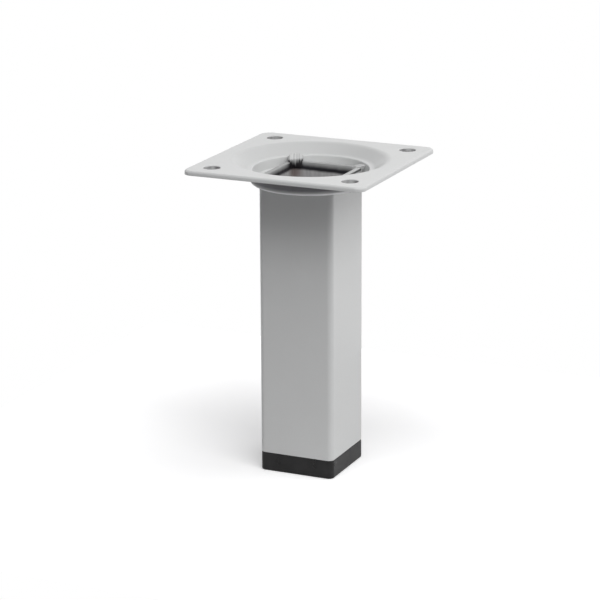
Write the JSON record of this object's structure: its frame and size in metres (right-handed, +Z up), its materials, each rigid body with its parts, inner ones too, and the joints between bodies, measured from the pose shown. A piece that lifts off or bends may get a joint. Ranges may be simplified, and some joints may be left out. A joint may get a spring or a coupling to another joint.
{
  "type": "square furniture leg",
  "caption": "Short square steel furniture leg: a tube welded into a dished square mounting plate with corner screw holes, and a plastic glide plugged into its foot.",
  "frame": {"origin": "centre of the glide's underside, where the leg meets the floor", "axes": "+Z up the tube to the mounting plate, X and Y along the sides of the plate"},
  "size_m": [0.06, 0.06, 0.1],
  "materials": {
    "painted_steel": "satin powder coat, silver grey",
    "black_plastic": "fine matte moulded"
  },
  "bodies": {
    "root": {"mounting_plate": "painted_steel", "leg_tube": "painted_steel", "corner_welds": "painted_steel", "foot_cap": "black_plastic"}
  },
  "joints": []
}
